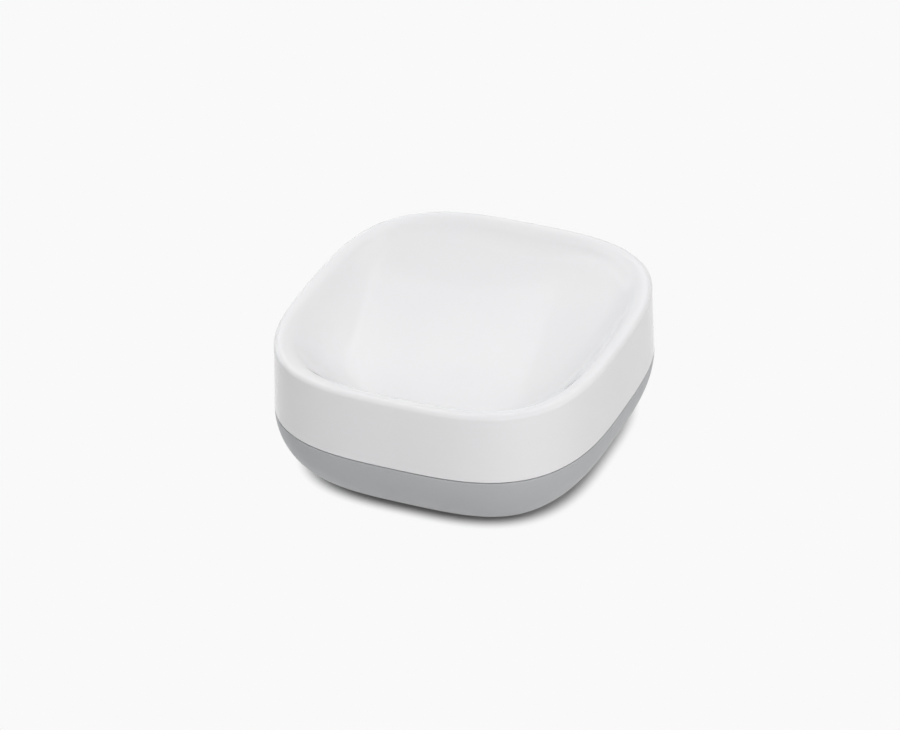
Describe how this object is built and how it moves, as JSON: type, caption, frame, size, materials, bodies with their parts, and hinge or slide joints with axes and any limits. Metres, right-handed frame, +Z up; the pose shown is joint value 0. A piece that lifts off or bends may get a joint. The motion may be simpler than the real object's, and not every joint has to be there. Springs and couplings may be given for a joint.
{
  "type": "soap dish",
  "caption": "Rounded-square soap dish: a glossy white dished tray with a drain slot lifts off a grey water-collecting base on rubber pads.",
  "frame": {"origin": "middle of the dish's outline, on the table that its pads stand on", "axes": "+Z up, the shortest extent; +Y to the back along the longest extent, away from the drain slot's side; +X to the right seen from the front"},
  "size_m": [0.106, 0.115, 0.0462],
  "materials": {
    "white_plastic": "gloss",
    "grey_plastic": "satin",
    "pad_rubber": "matte"
  },
  "bodies": {
    "base": {"base": "grey_plastic", "foot_front_left": "pad_rubber", "foot_front_right": "pad_rubber", "foot_back_left": "pad_rubber", "foot_back_right": "pad_rubber"},
    "tray": {"tray": "white_plastic"}
  },
  "joints": [
    {"name": "tray_lift", "type": "slide", "parent": "base", "child": "tray", "axis": [0, 0, 1], "range_m": [0, 0.05]}
  ]
}
